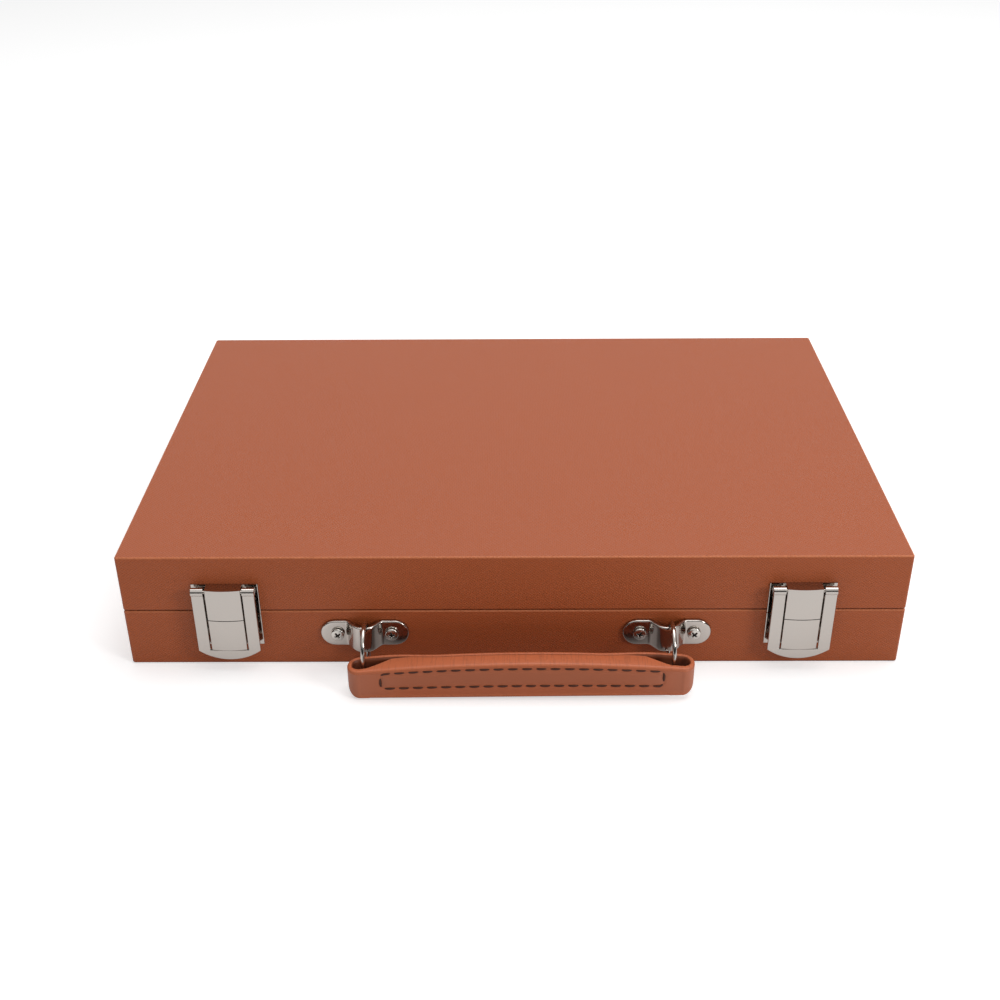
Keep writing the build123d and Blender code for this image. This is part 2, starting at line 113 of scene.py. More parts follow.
class Finish:
    """A material built on one Principled surface, reading the piece's own object coordinates."""

    def __init__(self, name, colour, roughness, **uniform):
        self.colour = (*colour, 1.0)
        self.material = bpy.data.materials.new(name)
        self.material.use_nodes = True
        self.tree = self.material.node_tree
        self.surface = self.tree.nodes["Principled BSDF"]
        self.set(self.surface, {"Base Color": self.colour, "Roughness": roughness})
        for key, value in uniform.items():
            self.set(self.surface, {key.replace("_", " "): value})

    def set(self, node, sockets):
        for key, value in sockets.items():
            if isinstance(value, Value):
                self.tree.links.new(value.socket, node.inputs[key])
            else:
                node.inputs[key].default_value = value

    def node(self, kind, settings=None, sockets=None, out=0):
        """Adds a node: its settings first, then the values or links of its sockets."""
        node = self.tree.nodes.new("ShaderNode" + kind)
        for key, value in (settings or {}).items():
            setattr(node, key, value)
        self.set(node, sockets or {})
        return Value(node.outputs[out])

    def feed(self, **sockets):
        self.set(self.surface, {key.replace("_", " "): value for key, value in sockets.items()})
        return self

    def split(self, vector):
        return [self.node("SeparateXYZ", sockets={"Vector": vector}, out=n) for n in range(3)]

    def place(self):
        return self.node("TexCoord", out=3)

    def join(self, x, y, z):
        return self.node("CombineXYZ", sockets={"X": x, "Y": y, "Z": z})

    def noise(self, scale, detail=2.0, vector=None):
        sockets = {"Vector": vector or self.place(), "Scale": scale, "Detail": detail}
        return self.node("TexNoise", sockets=sockets)

    def mix(self, factor, first, second):
        """A colour between two, through a Mix node."""
        first, second = (c if isinstance(c, Value) else (*c[:3], 1.0) for c in (first, second))
        return self.node(
            "Mix",
            {"data_type": "RGBA", "clamp_factor": True},
            {"Factor": factor, 6: first, 7: second},
            out=2,
        )

    def tint(self, share):
        """This finish's own colour, lighter or darker by a share."""
        return tuple(c * share for c in self.colour[:3])

    def relief(self, height, depth):
        """A bump whose full height is depth, in metres."""
        bump = self.node("Bump", sockets={"Height": height, "Strength": 1.0, "Distance": depth})
        return self.feed(Normal=bump)

    def on_sides(self):
        """(u, v) in metres along each flat side, picked by the way the surface faces."""
        x, y, z = self.split(self.place())
        facing = self.split(self.node("TexCoord", out=1))
        side = abs(facing[0]) > 0.7
        level = abs(facing[2]) > 0.7
        return x * (1 - side) + y * side, z * (1 - level) + y * level

    def wear(self, *names):
        """Puts the finish on CAD nodes, by name, or on new pieces."""
        for name in names:
            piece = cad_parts[name] if isinstance(name, str) else name
            piece.data.materials.clear()
            piece.data.materials.append(self.material)
        return self


def wave(value, pitch):
    """0 to 1 and back once in every pitch."""
    return 0.5 + 0.5 * (value * (2 * math.pi / pitch)).sine()


def cross_grain(finish, pitch, stray):
    """Fine raised threads in two slanting directions, with the small strays of an embossing."""
    u, v = finish.on_sides()
    drift = finish.noise(420, 1.0) * (2 * stray) - stray
    up = wave(u * 0.62 + v * 0.78 + drift, pitch) ** 2.2
    down = wave(u * 0.62 - v * 0.78 + drift, pitch) ** 2.2
    return up.larger(down)


leatherette = Finish("tan_cross_grain", (0.44, 0.098, 0.026), 0.42, Specular_IOR_Level=0.33)
grain = cross_grain(leatherette, pitch=1.15 * mm, stray=0.18 * mm)
mottle = leatherette.noise(26, 3.0)
speck = leatherette.noise(1500, 1.0) > 0.70
shade = leatherette.mix(grain, leatherette.tint(0.84), leatherette.tint(1.08))
shade = leatherette.mix(mottle * 0.5, shade, leatherette.tint(0.93))
shade = leatherette.mix(speck * 0.22, shade, leatherette.tint(0.5))
toward_x, toward_y, toward_z = leatherette.split(leatherette.node("TexCoord", out=1))
on_edge = toward_z * abs(toward_x).larger(abs(toward_y)) * 2.0
# A painted highlight: rounded edges that face up turn a lighter tan, flecked by noise.
painted_edge_highlight = on_edge.clamped() * (0.35 + 0.75 * leatherette.noise(700, 2.0))
shade = leatherette.mix(painted_edge_highlight, shade, (0.70, 0.235, 0.105))
# Painted shade: rounded edges that face down turn darker.
shade = leatherette.mix((0 - on_edge).clamped() * 0.8, shade, leatherette.tint(0.25))
leatherette.feed(Base_Color=shade, Roughness=0.50 - grain * 0.12)
leatherette.relief(grain + leatherette.noise(2400, 1.0) * 0.35, 0.09 * mm)
leatherette.wear("lid_cover", "base_wrap", "base_bottom_cover")


# Boards of the case
# Fibreboard walls mitred at the corners and a thin panel for each big face, glued up and
# then hidden under the covering and the lining.
fibreboard = Finish("raw_fibreboard", (0.46, 0.31, 0.17), 0.85)
fibres = fibreboard.noise(900, 4.0)
fibreboard.feed(Base_Color=fibreboard.mix(fibres, fibreboard.tint(0.75), fibreboard.tint(1.15)))
fibreboard.relief(fibres, 0.05 * mm)
for half in ("base", "lid"):
    walls = [f"{half}_wall_{side}" for side in ("front", "back", "left", "right")]
    fibreboard.wear(f"{half}_panel", *walls)


# Lining, trays and dividers
# Brown suede cloth glued to the walls and the tray floors; each divider is a wood strip
# covered in smooth brown leatherette.
suede = Finish("brown_suede", (0.115, 0.046, 0.024), 0.95, Sheen_Weight=0.35, Sheen_Roughness=0.5)
nap = suede.noise(1800, 3.0)
brushed = suede.noise(60, 2.0)
suede.feed(Base_Color=suede.mix(nap * 0.6 + brushed * 0.4, suede.tint(0.6), suede.tint(1.5)))
suede.relief(nap, 0.12 * mm)
suede.wear("base_lining", "lid_lining")

divider_skin = Finish("brown_leatherette", (0.20, 0.065, 0.028), 0.45)
pebble = divider_skin.node("TexVoronoi", sockets={"Vector": divider_skin.place(), "Scale": 1100.0})
pebbled = divider_skin.mix(pebble, divider_skin.tint(1.1), divider_skin.tint(0.8))
divider_skin.feed(Base_Color=pebbled)
divider_skin.relief(1 - pebble, 0.06 * mm)
divider_skin.wear("base_divider", "lid_divider")


# Playing fields and points
# A board covered in cream felt in each half, with twelve leather points inlaid in it: six
# from each side, dark and tan by turns.
felt = Finish("cream_felt", (0.60, 0.47, 0.31), 0.95, Sheen_Weight=0.3, Sheen_Roughness=0.5)
hairs = felt.noise(2200, 4.0)
felt.feed(Base_Color=felt.mix(hairs, felt.tint(0.80), felt.tint(1.12)))
felt.relief(hairs, 0.12 * mm)
felt.wear("base_field", "lid_field")


def inlay_leather(name, colour):
    """Thin smooth leather with a fine pore pattern."""
    skin = Finish(name, colour, 0.5)
    pores = skin.node("TexVoronoi", sockets={"Vector": skin.place(), "Scale": 1500.0})
    skin.feed(Base_Color=skin.mix(skin.noise(45, 3.0), skin.tint(0.88), skin.tint(1.1)))
    return skin.relief(pores ** 0.5, 0.04 * mm)


dark_inlay = inlay_leather("dark_point_leather", (0.055, 0.022, 0.014))
dark_inlay.wear("base_points_dark", "lid_points_dark")
tan_inlay = inlay_leather("tan_point_leather", (0.34, 0.10, 0.04))
tan_inlay.wear("base_points_light", "lid_points_light")


# Hinges at the back
# Two pressed steel butt hinges, nickel plated, let into the rims; a plain pin joins the
# knuckles and countersunk cross-head screws hold the leaves.
def plated(name, colour, roughness, smear):
    """Bright plating with faint wiping marks in the gloss."""
    metal = Finish(name, colour, roughness, Metallic=1.0)
    wipe = metal.noise(smear, 3.0)
    metal.feed(Roughness=roughness + wipe * 0.10 - 0.03)
    return metal.relief(metal.noise(160, 2.0), 0.006 * mm)


hinge_metal = plated("plated_hinge_steel", (0.58, 0.55, 0.51), 0.24, 220)
hinge_metal.wear("hinge_leaves_base", "hinge_leaves_lid", "hinge_pins")
screw_steel = plated("plated_screw_steel", (0.60, 0.57, 0.53), 0.17, 500)
sunk = screw_steel.node("Attribute", {"attribute_name": "sunk"}, out=2)
# Painted shade: the base colour goes near black as deep as the head sinks into the cross recess.
painted_recess_shade = (0.035, 0.030, 0.027)
screw_steel.feed(Base_Color=screw_steel.mix(sunk * 1.6, screw_steel.colour, painted_recess_shade))


def middle(node):
    """The middle of a CAD node's box."""
    low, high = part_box(node)
    return (low + high) / 2


def mesh_piece(name, points, faces, finish, body, slot, smooth=True, **fields):
    """A new piece on one body, from points (n, 3) and faces, with fields on its points."""
    mesh = bpy.data.meshes.new(name)
    mesh.from_pydata(points.tolist(), [], faces)
    for field, values in fields.items():
        attribute = mesh.attributes.new(field, "FLOAT", "POINT")
        attribute.data.foreach_set("value", values.astype(np.float32))
    mesh.polygons.foreach_set("use_smooth", np.full(len(mesh.polygons), smooth))
    mesh.update()
    piece = bpy.data.objects.new(name, mesh)
    bpy.context.scene.collection.objects.link(piece)
    finish.wear(piece)
    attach(piece, body)
    return piece


def grid_faces(rows, columns, offset=0, closed_rows=False, closed_columns=True):
    """Quads of a grid of points; the last row may join the first, and the last column too."""
    row = np.arange(rows if closed_rows else rows - 1)[:, None]
    column = np.arange(columns if closed_columns else columns - 1)[None, :]
    below, after = (row + 1) % rows, (column + 1) % columns
    corners = [
        row * columns + column,
        row * columns + after,
        below * columns + after,
        below * columns + column,
    ]
    return (np.stack(corners, -1).reshape(-1, 4) + offset).tolist()


def turned_screw(profile, arm, width, depth, around=48):
    """A screw along +Z with a cross recess.

    Each profile point (radius, height) is turned round the axis. Where a point of the head's
    top lies inside the cross, within half a width of an axis and an arm's reach of the
    middle, it sinks by the depth. The cross's walls take a quarter of its width, and each arm
    rises over its outer third. The top is what lies higher than the cross is deep. The third
    result says how far each point has sunk, from 0 to 1.
    """
    radius, height = np.array(profile, float).T
    turn = np.linspace(0, 2 * np.pi, around, endpoint=False) + np.pi / around
    r, a = radius[:, None], turn[None, :]
    x, y = r * np.cos(a), r * np.sin(a)
    away, along = np.minimum(abs(x), abs(y)), np.maximum(abs(x), abs(y))
    inside = np.clip((width / 2 - away) / (0.25 * width) + 0.5, 0, 1)
    inside = inside * np.clip((arm - along) / (0.35 * arm), 0, 1) * (height > -depth)[:, None]
    z = height[:, None] - depth * inside
    points = np.stack([x, y, z], -1).reshape(-1, 3)
    faces = grid_faces(len(profile), around)
    last = len(points)
    points = np.vstack([points, [[0, 0, height[0] - depth], [0, 0, height[-1]]]])
    ring = np.arange(around)
    after = (ring + 1) % around
    faces += np.stack([after, ring, 0 * ring + last], -1).tolist()
    low = last - around
    faces += np.stack([ring + low, after + low, 0 * ring + last + 1], -1).tolist()
    return points, faces, np.concatenate([inside.ravel(), [1, 0]])


def screw_group(node, body, profile, cross, spots, turn):
    """Like screws at several spots, each turned by its own angle, in place of a CAD node.

    The cross is its arm, width and depth, and the turn brings +Z out of the screws' heads.
    """
    points, faces, recess = turned_screw(profile, *cross)
    all_points, all_faces = [], []
    for number, spot in enumerate(spots):
        spin = Matrix.Rotation(0.6 + 1.1 * number, 3, "Z")
        place = np.array(turn @ spin)
        all_faces += [[i + len(points) * number for i in face] for face in faces]
        all_points.append(points @ place.T + np.array(spot))
    piece = mesh_piece(
        f"{node}_cross", np.vstack(all_points), all_faces, screw_steel, body, "screw_steel",
        sunk=np.tile(recess, len(spots)),
    )
    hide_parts(node)


def head_profile(head, crown, edge, under, shank, length):
    """Profile of a pan head from its middle outwards, round its rim, under it and down the shank.

    The top falls by the crown with the square of the radius, and the rim is a quarter circle.
    """
    out = np.linspace(0.04, 1, 14)
    top = [(o * (head - edge), -crown * o * o) for o in out]
    quarter = np.linspace(0, math.pi / 2, 6)[1:]
    rim = [(head - edge + edge * math.sin(a), -crown - edge + edge * math.cos(a)) for a in quarter]
    low = [(head, under), (shank, under), (shank, shank - length), (shank * 0.1, -length)]
    return top + rim + low


flush_head, flush_shank, flush_length, screw_tip = 2.1 * mm, 1.1 * mm, 8.9 * mm, 0.1 * mm
leaf_screw_reach = 13 * mm
hinge_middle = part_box("hinge_screws_base")[1].x - flush_head - leaf_screw_reach
hinge_spots = [s * hinge_middle + t * leaf_screw_reach for s in (-1, 1) for t in (-1, 1)]
leaf_y = middle("hinge_screws_base").y
base_rim, lid_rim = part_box("hinge_screws_base")[1].z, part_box("hinge_screws_lid")[0].z
flush = [
    *[(r, 0.0) for r in np.linspace(screw_tip, 1.7 * mm, 14)],
    (flush_head, 0.0),
    (flush_shank, flush_shank - flush_head),
    (flush_shank, -8.0 * mm),
    (screw_tip, -flush_length),
]
flush_cross = (1.3 * mm, 0.5 * mm, 0.6 * mm)
heads_up, heads_down = Matrix.Identity(3), Matrix.Rotation(math.pi, 3, "X")
for half, rim, turn in (("base", base_rim, heads_up), ("lid", lid_rim, heads_down)):
    spots = [(x, leaf_y, rim) for x in hinge_spots]
    screw_group(f"hinge_screws_{half}", half, flush, flush_cross, spots, turn)


# Snap hasps at the front
# Nickel-plated pressed steel: a plate with a raised boss on each half, and a U frame rolled
# round a pin in the upper boss that snaps under the lower one. Small screws sit behind its arms.
nickel = plated("bright_nickel", (0.50, 0.46, 0.425), 0.11, 140)
for side in ("left", "right"):
    nickel.wear(*[f"hasp_{side}_{part}" for part in ("lid_plate", "base_plate", "frame", "pin")])
heads_front = Matrix.Rotation(math.pi / 2, 3, "X")
small_pan = head_profile(
    head=2.0 * mm, crown=0.45 * mm, edge=0.3 * mm,
    under=-1.0 * mm, shank=1.0 * mm, length=8.0 * mm,
)
small_cross = (1.3 * mm, 0.55 * mm, 0.6 * mm)
hasp_screw_reach = 12.25 * mm
hasp_middles = [middle(f"hasp_{side}_pin").x for side in ("left", "right")]
for half in ("lid", "base"):
    face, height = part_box(f"hasp_screws_{half}")[0].y, middle(f"hasp_screws_{half}").z
    spots = [(x + t * hasp_screw_reach, face, height) for x in hasp_middles for t in (-1, 1)]
    screw_group(f"hasp_screws_{half}", half, small_pan, small_cross, spots, heads_front)


# Bridge brackets and their screws
# A thick strip of nickel-plated steel with round ends and rolled edges, bent up in the middle;
# two pan-head cross screws hold each one to the front of the base.
bracket_sheet, bracket_roll = 1.8 * mm, 0.85 * mm
bridge_foot, bridge_crest = 13.8 * mm, 5.4 * mm
bend_room = 1.3 * mm
bracket_screw_reach = 13.2 * mm


def weld(points, faces):
    """Joins points that fall together, and drops the corners that faces lose by it."""
    _, first, index = np.unique(
        np.round(points / (0.002 * mm)), axis=0, return_index=True, return_inverse=True
    )
    joined = [list(dict.fromkeys(index.ravel()[face].tolist())) for face in faces]
    return points[first], [face for face in joined if len(face) > 2]


def bracket_surface(half_length, half_width, bridge_stand):
    """A bent strip: x along, z across, and its distance from the case.

    The outline is two straight sides and two half circles. The profile starts in the middle
    of the back and steps to the outline, up the edge, round the roll and in to the middle of
    the front. The bridge is a trapezium of heights, each averaged over the bend room.
    """
    side = np.linspace(-1, 1, 96) * (half_length - half_width)
    turn = np.linspace(-np.pi / 2, np.pi / 2, 30)[1:-1]
    zero = np.zeros_like(side)
    middle_x = np.concatenate([side, 0 * turn + side[-1], side[::-1], 0 * turn + side[0]])
    out_x = np.concatenate([zero, np.cos(turn), zero, -np.cos(turn)])
    out_z = np.concatenate([zero - 1, np.sin(turn), zero + 1, -np.sin(turn)])
    quarter = np.linspace(0, np.pi / 2, 7)
    rolled_in = bracket_roll / half_width * (1 - np.cos(quarter))
    rolled_up = bracket_sheet - bracket_roll + bracket_roll * np.sin(quarter)
    inset = np.concatenate([[1, 0.6, 0.25, 0.0], rolled_in, [0.3, 0.6, 1]])
    height = np.concatenate([[0, 0, 0, 0], rolled_up, 3 * [bracket_sheet]])
    reach = half_width * (1 - inset)[None, :]
    x = middle_x[:, None] + out_x[:, None] * reach
    z = out_z[:, None] * reach

    def stand(place):
        near = np.linspace(-bend_room, bend_room, 9)
        spread = abs(place[..., None] + near)
        slope = half_length - bridge_foot - bridge_crest / 2
        return bridge_stand * np.clip((half_length - bridge_foot - spread) / slope, 0, 1).mean(-1)

    nudge = 0.1 * mm
    tilt = (stand(x + nudge) - stand(x - nudge)) / (2 * nudge)
    upright = 1 / np.sqrt(1 + tilt ** 2)
    away = stand(x) + height * upright
    return np.stack([x - height * tilt * upright, -away, z], -1)


for side in ("left", "right"):
    low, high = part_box(f"handle_bracket_{side}")
    stretch = high - low
    surface = bracket_surface(stretch.x / 2, stretch.z / 2, stretch.y - bracket_sheet)
    seat = middle(f"handle_bracket_{side}")
    surface = surface + np.array([seat.x, high.y, seat.z])
    strip_faces = grid_faces(*surface.shape[:2], closed_rows=True, closed_columns=False)
    points, faces = weld(surface.reshape(-1, 3), strip_faces)
    bracket = mesh_piece(f"bracket_{side}_rolled", points, faces, nickel, "base", "nickel")
    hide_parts(f"handle_bracket_{side}")

pan = head_profile(
    head=3.35 * mm, crown=0.35 * mm, edge=0.7 * mm,
    under=-2.1 * mm, shank=1.5 * mm, length=11.1 * mm,
)
pan_cross = (1.75 * mm, 0.7 * mm, 0.95 * mm)
bracket_middles = [middle(f"handle_bracket_{side}").x for side in ("left", "right")]
face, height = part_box("bracket_screws")[0].y, middle("bracket_screws").z
spots = [(x + t * bracket_screw_reach, face, height) for x in bracket_middles for t in (-1, 1)]
screw_group("bracket_screws", "base", pan, pan_cross, spots, heads_front)


# Wire rings
# Nickel-plated wire bent into a long ring and closed with a butt joint; each hangs in its
# bridge and carries one end of the handle. The CAD rings keep their shape.
nickel.wear("handle_ring_left", "handle_ring_right")


# Leather handle
# One strap of tan leather folded round both ends, where it leaves a loop for the ring, and
# closed on its own back behind a padded middle; a long rectangle of thick brown thread
# holds the layers together.
strap_low, strap_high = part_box("handle_strap")
front_y, back_y = strap_low.y, strap_high.y
left_end, right_end = strap_low.x, strap_high.x
strap_middle = (left_end + right_end) / 2
half_length = (right_end - left_end) / 2
end_radius, end_corner = 6.2 * mm, 5 * mm
end_top = strap_high.z - 2.7 * mm
crown, lean = 3.7 * mm, 0.8 * mm

# Layers: how thick each is, how far the back one stands up from below, and where it sinks in.
strap_wall, front_wall, back_wall = 2.2 * mm, 3.1 * mm, 1.8 * mm
outer_edge, inner_edge = 1.6 * mm, 0.8 * mm
back_rise = 4.9 * mm
middle_sink, sink_start, sink_end = 2.2 * mm, 18 * mm, 46 * mm

# Loops for the rings: their lengths, then the slope and the slit between loop and bar.
loop_left, loop_right = 9.0 * mm, 11.2 * mm
loop_slope, slope_power = 12 * mm, 1.15
slit_length, slit = 11 * mm, 1.3 * mm

# Stitched rectangle, how far its long sides follow the bow, and the relief round its thread.
stitch_left, stitch_right = -63.3 * mm, 71.1 * mm
stitch_low, stitch_high = 7.0 * mm, 15.2 * mm
low_lift, high_lift = 0.33, 0.85
stitch_corner = 2.4 * mm
groove_depth, groove_width = 0.42 * mm, 0.65 * mm
panel_swell, swell_start, swell_end = 0.28 * mm, 0.5 * mm, 2.6 * mm
panel_room, fade_start, fade_end = 0.30 * mm, 0.5 * mm, 3 * mm


def ease(value, start, end):
    """0 before start, 1 after end, and a smooth rise between."""
    t = np.clip((value - start) / (end - start), 0, 1)
    return t * t * (3 - 2 * t)


def bow(x):
    """Rise of the handle's top line: a shallow arc, nothing at the ends."""
    return crown * np.clip(1 - ((x - strap_middle) / (half_length - end_corner)) ** 2, 0, 1)


def hang(points):
    """The handle's lean: a little lower at its left end and higher at its right end."""
    points[..., 2] += lean * (points[..., 0] - strap_middle) / half_length
    return points


def stitch_line_distance(x, z):
    """Signed distance from the stitched rectangle, whose long sides follow the bow in part."""
    low, high = stitch_low + bow(x) * low_lift, stitch_high + bow(x) * high_lift
    centre_x, half_x = (stitch_left + stitch_right) / 2, (stitch_right - stitch_left) / 2
    centre_z, half_z = (low + high) / 2, (high - low) / 2
    qx, qz = abs(x - centre_x) - half_x + stitch_corner, abs(z - centre_z) - half_z + stitch_corner
    outside = np.hypot(np.maximum(qx, 0), np.maximum(qz, 0))
    return outside + np.minimum(np.maximum(qx, qz), 0) - stitch_corner


def strap_path(count):
    """The strap's outer line in plan, its inward direction and its thickness.

    The line is straight in front, half round at both ends and straight behind, where it
    sinks towards the padded bar. The thickness grows from the single layer at the ends
    to the full bar in the middle of the front.
    """
    centre_y = front_y + end_radius
    run = np.linspace(0, 1, count)
    x_front = left_end + end_radius + run * (right_end - left_end - 2 * end_radius)
    turn = np.linspace(-np.pi / 2, np.pi / 2, 28)[1:-1]
    cap_x = np.cos(turn) * end_radius
    cap_y = np.sin(turn) * end_radius
    zero, one = np.zeros(count), np.ones(count)
    right_cap, left_cap = right_end - end_radius + cap_x, left_end + end_radius - cap_x
    x = np.concatenate([x_front, right_cap, x_front[::-1], left_cap])
    sink = middle_sink * ease(half_length - abs(x - strap_middle), sink_start, sink_end)
    y = np.concatenate([front_y + zero, centre_y + cap_y, back_y + zero, centre_y - cap_y])
    inward_x = np.concatenate([zero, -np.cos(turn), zero, np.cos(turn)])
    inward_y = np.concatenate([one, -np.sin(turn), -one, np.sin(turn)])
    behind = inward_y < -0.999
    ahead = inward_y > 0.999
    y = y - np.where(behind, sink, 0)
    inwards = np.minimum(x - left_end - loop_left, right_end - loop_right - x)
    slope = np.clip(inwards / loop_slope, 0, 1) ** slope_power
    close = ease(inwards, loop_slope * 0.8, loop_slope + slit_length)
    full = end_radius * 2 - back_wall - sink
    bar = front_wall + slope * (full - front_wall - slit) + close * slit
    wrap = (1 + inward_y) / 2
    single = back_wall + (front_wall - back_wall) * wrap ** 2
    single = single + (strap_wall - single) * (1 - abs(inward_y))
    thickness = np.where(ahead, bar, np.where(behind, back_wall, single))
    return x, y, inward_x, inward_y, thickness


def strap_surface(count=300, side=22, corner=6):
    """The handle: a rounded section carried along the strap's path, and its stitched panel.

    At each place the section runs up the outer side, over the top, down the inner side
    and along the bottom, with round corners. The outer side swells a little inside the
    stitched rectangle and has a groove along the thread, a bell curve of the distance from
    it; both fade out near the top and bottom edges. The other results mark the stitched
    panel and the inner side, from 0 to 1.
    """
    x, y, inward_x, inward_y, thickness = strap_path(count)
    from_end = np.minimum(x - left_end, right_end - x)
    round_corner = np.clip(end_corner - from_end, 0, end_corner)
    corner_rise = end_corner - np.sqrt(end_corner ** 2 - round_corner ** 2)
    bottom = strap_low.z + corner_rise + back_rise * np.clip(-inward_y, 0, 1)
    top = end_top + bow(x)
    outer_round = np.minimum(outer_edge, thickness * 0.42)
    inner_round = np.minimum(inner_edge, thickness * 0.42)
    quarter = np.linspace(0, np.pi / 2, corner)
    up = np.linspace(0, 1, side)
    low, high = bottom[:, None], top[:, None]
    t, ro, ri = thickness[:, None], outer_round[:, None], inner_round[:, None]
    section = [
        (0 * t + 0 * up, low + ro + up * (high - low - 2 * ro)),
        (ro - ro * np.cos(quarter), high - ro + ro * np.sin(quarter)),
        (t - ri + ri * np.sin(quarter), high - ri + ri * np.cos(quarter)),
        (t + 0 * up[::4], high - ri - up[::4] * (high - low - 2 * ri)),
        (t - ri + ri * np.cos(quarter), low + ri - ri * np.sin(quarter)),
        (ro - ro * np.sin(quarter), low + ro - ro * np.cos(quarter)),
    ]
    depth, height = (np.concatenate(parts, 1) for parts in zip(*section))
    outer = (depth < 0.02 * mm) & (inward_y > 0.999)[:, None]
    away = stitch_line_distance(x[:, None] + 0 * depth, height)
    groove = groove_depth * np.exp(-((away / groove_width) ** 2))
    swell = panel_swell * ease(-away, swell_start, swell_end)
    fade = ease(height - low, fade_start, fade_end) * ease(high - height, fade_start, fade_end)
    depth = depth + np.where(outer, (groove - swell + panel_room) * fade, 0)
    px = x[:, None] + inward_x[:, None] * depth
    py = y[:, None] + inward_y[:, None] * depth
    panel = np.where(outer, ease(-away, 0, 0.8 * mm), 0)
    return hang(np.stack([px, py, height], -1)), panel, ease(depth / t, 0.9, 1)


handle_leather = Finish("tan_handle_leather", (0.465, 0.136, 0.062), 0.40, Specular_IOR_Level=0.38)
hx, hy, hz = handle_leather.split(handle_leather.place())
pore_sockets = {"Vector": handle_leather.place(), "Scale": 1700.0}
pores = handle_leather.node("TexVoronoi", sockets=pore_sockets)
crease = handle_leather.noise(1.0, 3.0, handle_leather.join(hx * 1500, hy * 90, hz * 130))
rubbed = handle_leather.noise(55, 3.0)
on_top = abs(handle_leather.split(handle_leather.node("TexCoord", out=1))[2])
lines = crease * on_top
# A painted sheen: the handle's sides turn greyer towards both ends.
sheen_start, sheen_fade = 55 * mm, 22 * mm
from_middle = abs(hx - strap_middle)
painted_end_sheen = ((from_middle - sheen_start) / sheen_fade).clamped() * (1 - on_top)
within = handle_leather.node("Attribute", {"attribute_name": "panel"}, out=2)
tan = handle_leather.mix(within, (0.52, 0.131, 0.050), handle_leather.colour)
tan = handle_leather.mix(rubbed * 0.25, tan, handle_leather.tint(0.72))
tan = handle_leather.mix(painted_end_sheen * 0.55, tan, (0.460, 0.164, 0.092))
# A painted highlight: faces that point up or down turn a lighter tan.
tan = handle_leather.mix(on_top * 0.8, tan, (0.56, 0.152, 0.060))
tan = handle_leather.mix((crease > 0.56) * on_top * 0.35, tan, handle_leather.tint(0.75))
rough_side = handle_leather.node("Attribute", {"attribute_name": "inner_side"}, out=2)
tan = handle_leather.mix(rough_side * 0.85, tan, (0.16, 0.042, 0.016))
handle_leather.feed(Base_Color=tan, Roughness=0.34 + rubbed * 0.14)
handle_leather.relief(lines * 0.8 + pores * 0.25, 0.11 * mm)

surface, panel, inner_side = strap_surface()
points = surface.reshape(-1, 3)
faces = [face[::-1] for face in grid_faces(*surface.shape[:2], closed_rows=True)]
handle = mesh_piece(
    "handle_leather", points, faces, handle_leather, "handle", "handle_leather",
    panel=panel.ravel(), inner_side=inner_side.ravel(),
)
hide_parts("handle_strap")
core_fibre = Finish("handle_core_fibre", (0.5, 0.4, 0.3), 0.9)
core_fibre.relief(core_fibre.noise(900, 3.0), 0.1 * mm).wear("handle_core")

# How far the thread's middle line lies behind the strap's front, at a stitch's ends and top.
thread_end_depth, thread_top_depth = 0.88 * mm, 0.34 * mm


def stitches(pitch, length, radius, around=8, along=9):
    """Thread stitches along the rectangle.

    The rectangle is drawn as four sides, and each point near a corner is pulled in to the
    corner's circle. It is walked in even steps. Each stitch is a short round thread: a tube
    whose radius and rise follow a half circle, so both ends dive into the groove.
    """
    xs = np.linspace(stitch_left, stitch_right, 1200)
    rise = np.linspace(0, 1, 80)[1:-1]
    top = np.stack([xs, stitch_high + bow(xs) * high_lift], -1)
    low = np.stack([xs, stitch_low + bow(xs) * low_lift], -1)[::-1]
    down = top[-1] + rise[:, None] * (low[0] - top[-1])
    up = low[-1] + rise[:, None] * (top[0] - low[-1])
    loop = np.vstack([top, down, low, up, top[:1]])
    x, z = loop.T
    inner_low = stitch_low + bow(x) * low_lift + stitch_corner
    inner_high = stitch_high + bow(x) * high_lift - stitch_corner
    inner_x = np.clip(x, stitch_left + stitch_corner, stitch_right - stitch_corner)
    inner = np.stack([inner_x, np.clip(z, inner_low, inner_high)], -1)
    outwards = loop - inner
    far = np.hypot(*outwards.T)[:, None]
    loop = inner + outwards * np.minimum(1, stitch_corner / np.maximum(far, 1e-9))
    step = np.hypot(*np.diff(loop, axis=0).T)
    travelled = np.concatenate([[0], np.cumsum(step)])
    count = int(round(travelled[-1] / pitch))
    starts = (np.arange(count) + 0.3) * travelled[-1] / count
    s = np.linspace(0, 1, along)
    here = starts[:, None] + (s - 0.5) * length
    cx = np.interp(here % travelled[-1], travelled, loop[:, 0])
    cz = np.interp(here % travelled[-1], travelled, loop[:, 1])
    arch = np.sqrt(np.clip(1 - (2 * s - 1) ** 2, 0.02, 1))
    depth = thread_end_depth + (thread_top_depth - thread_end_depth) * arch
    cy = front_y + depth + 0 * cx
    dx, dz = np.gradient(cx, axis=1), np.gradient(cz, axis=1)
    size = np.hypot(dx, dz)
    nx, nz = -dz / size, dx / size
    turn = np.linspace(0, 2 * np.pi, around, endpoint=False)
    r = radius * (0.45 + 0.55 * arch)[None, :, None]
    px = cx[..., None] + r * np.cos(turn) * nx[..., None]
    pz = cz[..., None] + r * np.cos(turn) * nz[..., None]
    py = cy[..., None] - r * np.sin(turn) * 0.8
    points = hang(np.stack([px, py, pz], -1))
    faces = []
    for number in range(count):
        offset = number * along * around
        faces += grid_faces(along, around, offset)
        faces.append(list(range(offset, offset + around))[::-1])
        faces.append(list(range(offset + (along - 1) * around, offset + along * around)))
    return points.reshape(-1, 3), faces


